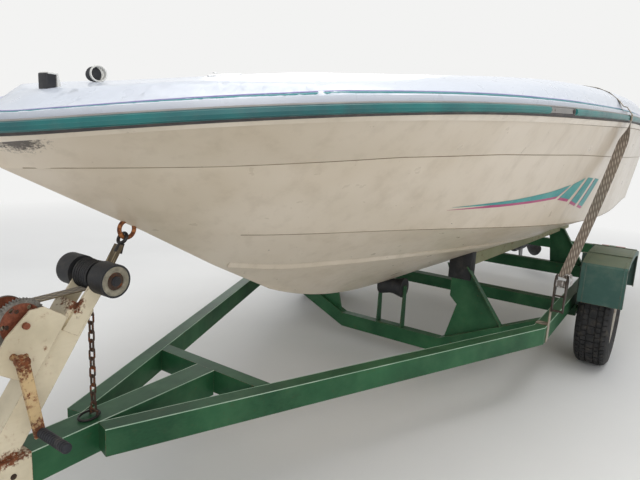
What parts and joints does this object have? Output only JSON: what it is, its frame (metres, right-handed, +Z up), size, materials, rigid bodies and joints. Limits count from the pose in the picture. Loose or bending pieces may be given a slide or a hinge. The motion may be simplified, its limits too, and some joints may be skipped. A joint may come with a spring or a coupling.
{
  "type": "speedboat on trailer",
  "caption": "Small sterndrive speedboat with an open cockpit, strapped on a braced steel trailer with winch and jack.",
  "frame": {"origin": "on the floor below the middle of the box round boat and trailer", "axes": "+X towards the bow and the coupler, +Y to port, +Z up"},
  "size_m": [5.9774, 2.17, 1.5438],
  "materials": {
    "hull_gelcoat": "cream gelcoat over glass fibre",
    "deck_gelcoat": "pale blue-white gelcoat",
    "rail_rubber": "black extruded rub rail",
    "teal_insert": "teal vinyl insert",
    "dark_moulding": "grained black moulding",
    "seat_shell": "moulded white shell",
    "cushion_vinyl": "off-white marine vinyl with teal panels",
    "engine_paint": "painted cast alloy",
    "bright_steel": "stainless steel, rust-stained",
    "deck_alloy": "cast alloy",
    "drive_paint": "painted cast alloy",
    "frame_green": "dark green paint, chipped and rusty",
    "winch_cream": "cream paint, chipped and rusty",
    "winch_steel": "grey steel with red-brown rust",
    "zinc_steel": "dull zinc, rusty",
    "tyre_rubber": "worn black rubber",
    "rim_paint": "pale paint with a rusty edge",
    "roller_rubber": "black roller rubber",
    "bunk_timber": "olive carpet on timber",
    "webbing": "woven beige webbing",
    "lamp_red": "red lens"
  },
  "bodies": {
    "root": {"axle_beam": "frame_green", "bow_eye": "bright_steel", "bow_light": "dark_moulding", "bow_vent": "dark_moulding", "bunk_posts": "frame_green", "bunks": "bunk_timber", "chain_staple": "zinc_steel", "cleats": "deck_alloy", "coupler": "frame_green", "cross_members": "frame_green", "dash": "dark_moulding", "deck": "deck_gelcoat", "dropped_member": "frame_green", "engine_block": "engine_paint", "fender_left": "frame_green", "fender_right": "frame_green", "front_seats": "seat_shell", "hull": "hull_gelcoat", "jack_tube": "zinc_steel", "rail_left": "frame_green", "rail_right": "frame_green", "ratchet": "zinc_steel", "rear_bench": "cushion_vinyl", "roller_bracket": "frame_green", "rub_rail": "rail_rubber", "rub_rail_insert": "teal_insert", "safety_chain": "zinc_steel", "seat_pads": "cushion_vinyl", "strap_hook": "bright_steel", "tail_lamps": "lamp_red", "throttle": "dark_moulding", "tie_strap": "webbing", "tongue": "frame_green", "transom_shield": "drive_paint", "winch_frame": "winch_cream", "winch_post": "winch_cream", "winch_strap": "webbing"},
    "left_wheel": {"rim_left": "rim_paint", "tyre_left": "tyre_rubber"},
    "right_wheel": {"rim_right": "rim_paint", "tyre_right": "tyre_rubber"},
    "bow_roll": {"bow_roller": "roller_rubber"},
    "keel_roll": {"keel_roller": "roller_rubber"},
    "winch_reel": {"winch_drum": "winch_steel", "strap_roll": "webbing"},
    "winch_handle": {"winch_crank": "winch_steel", "crank_grip": "dark_moulding"},
    "gimbal": {"gimbal_ring": "drive_paint"},
    "drive": {"drive_leg": "drive_paint"},
    "screw": {"propeller": "drive_paint"},
    "trim_barrels": {"ram_barrels": "drive_paint"},
    "trim_rods": {"ram_rods": "bright_steel"},
    "hatch": {"engine_hatch": "deck_gelcoat", "sun_pad": "cushion_vinyl"},
    "helm": {"steering_wheel": "dark_moulding"},
    "jack": {"jack_leg": "zinc_steel"}
  },
  "joints": [
    {"name": "wheel_left_spin", "type": "hinge", "parent": "root", "child": "left_wheel", "pos_m": [-0.72125, 0.958, 0.29], "axis": [0, 1, 0], "continuous": true},
    {"name": "wheel_right_spin", "type": "hinge", "parent": "root", "child": "right_wheel", "pos_m": [-0.72125, -0.958, 0.29], "axis": [0, 1, 0], "continuous": true},
    {"name": "bow_roller_spin", "type": "hinge", "parent": "root", "child": "bow_roll", "pos_m": [1.82175, 0, 0.805], "axis": [0, 1, 0], "continuous": true},
    {"name": "keel_roller_spin", "type": "hinge", "parent": "root", "child": "keel_roll", "pos_m": [-0.00125, 0, 0.40136], "axis": [0, 1, 0], "continuous": true},
    {"name": "winch_reel_turn", "type": "hinge", "parent": "root", "child": "winch_reel", "pos_m": [2.02897, 0, 0.72968], "axis": [0, 1, 0], "continuous": true},
    {"name": "winch_crank_turn", "type": "hinge", "parent": "root", "child": "winch_handle", "pos_m": [2.06032, 0, 0.66155], "axis": [0, 1, 0], "continuous": true},
    {"name": "drive_steer", "type": "hinge", "parent": "root", "child": "gimbal", "pos_m": [-2.59575, 0, 0.87], "axis": [0, 0, 1], "range_deg": [-28, 28]},
    {"name": "drive_tilt", "type": "hinge", "parent": "gimbal", "child": "drive", "pos_m": [-2.65075, 0, 0.87], "axis": [0, 1, 0], "range_deg": [0, 45]},
    {"name": "propeller_spin", "type": "hinge", "parent": "drive", "child": "screw", "pos_m": [-2.88375, 0, 0.255], "axis": [1, 0, 0], "continuous": true},
    {"name": "ram_barrel_swing", "type": "hinge", "parent": "gimbal", "child": "trim_barrels", "pos_m": [-2.58575, 0, 0.64], "axis": [0, 1, 0], "range_deg": [0, 30]},
    {"name": "ram_rod_slide", "type": "slide", "parent": "trim_barrels", "child": "trim_rods", "axis": [-1, 0, 0], "range_m": [0, 0.16]},
    {"name": "hatch_lift", "type": "hinge", "parent": "root", "child": "hatch", "pos_m": [-2.45325, 0, 1.3978], "axis": [0, -1, 0], "range_deg": [0, 75]},
    {"name": "helm_turn", "type": "hinge", "parent": "root", "child": "helm", "pos_m": [-0.51296, -0.33, 1.33929], "axis": [0.8829, 0, -0.4695], "range_deg": [-421, 421]},
    {"name": "jack_slide", "type": "slide", "parent": "root", "child": "jack", "axis": [0, 0, 1], "range_m": [0, 0.23]}
  ],
  "couplings": [
    {"joint": "winch_crank_turn", "follows": "winch_reel_turn", "ratio": -4},
    {"joint": "ram_barrel_swing", "follows": "drive_tilt", "ratio": 0.6555},
    {"joint": "ram_rod_slide", "follows": "drive_tilt", "m_per_rad": 0.2025},
    {"joint": "helm_turn", "follows": "drive_steer", "ratio": 15}
  ]
}
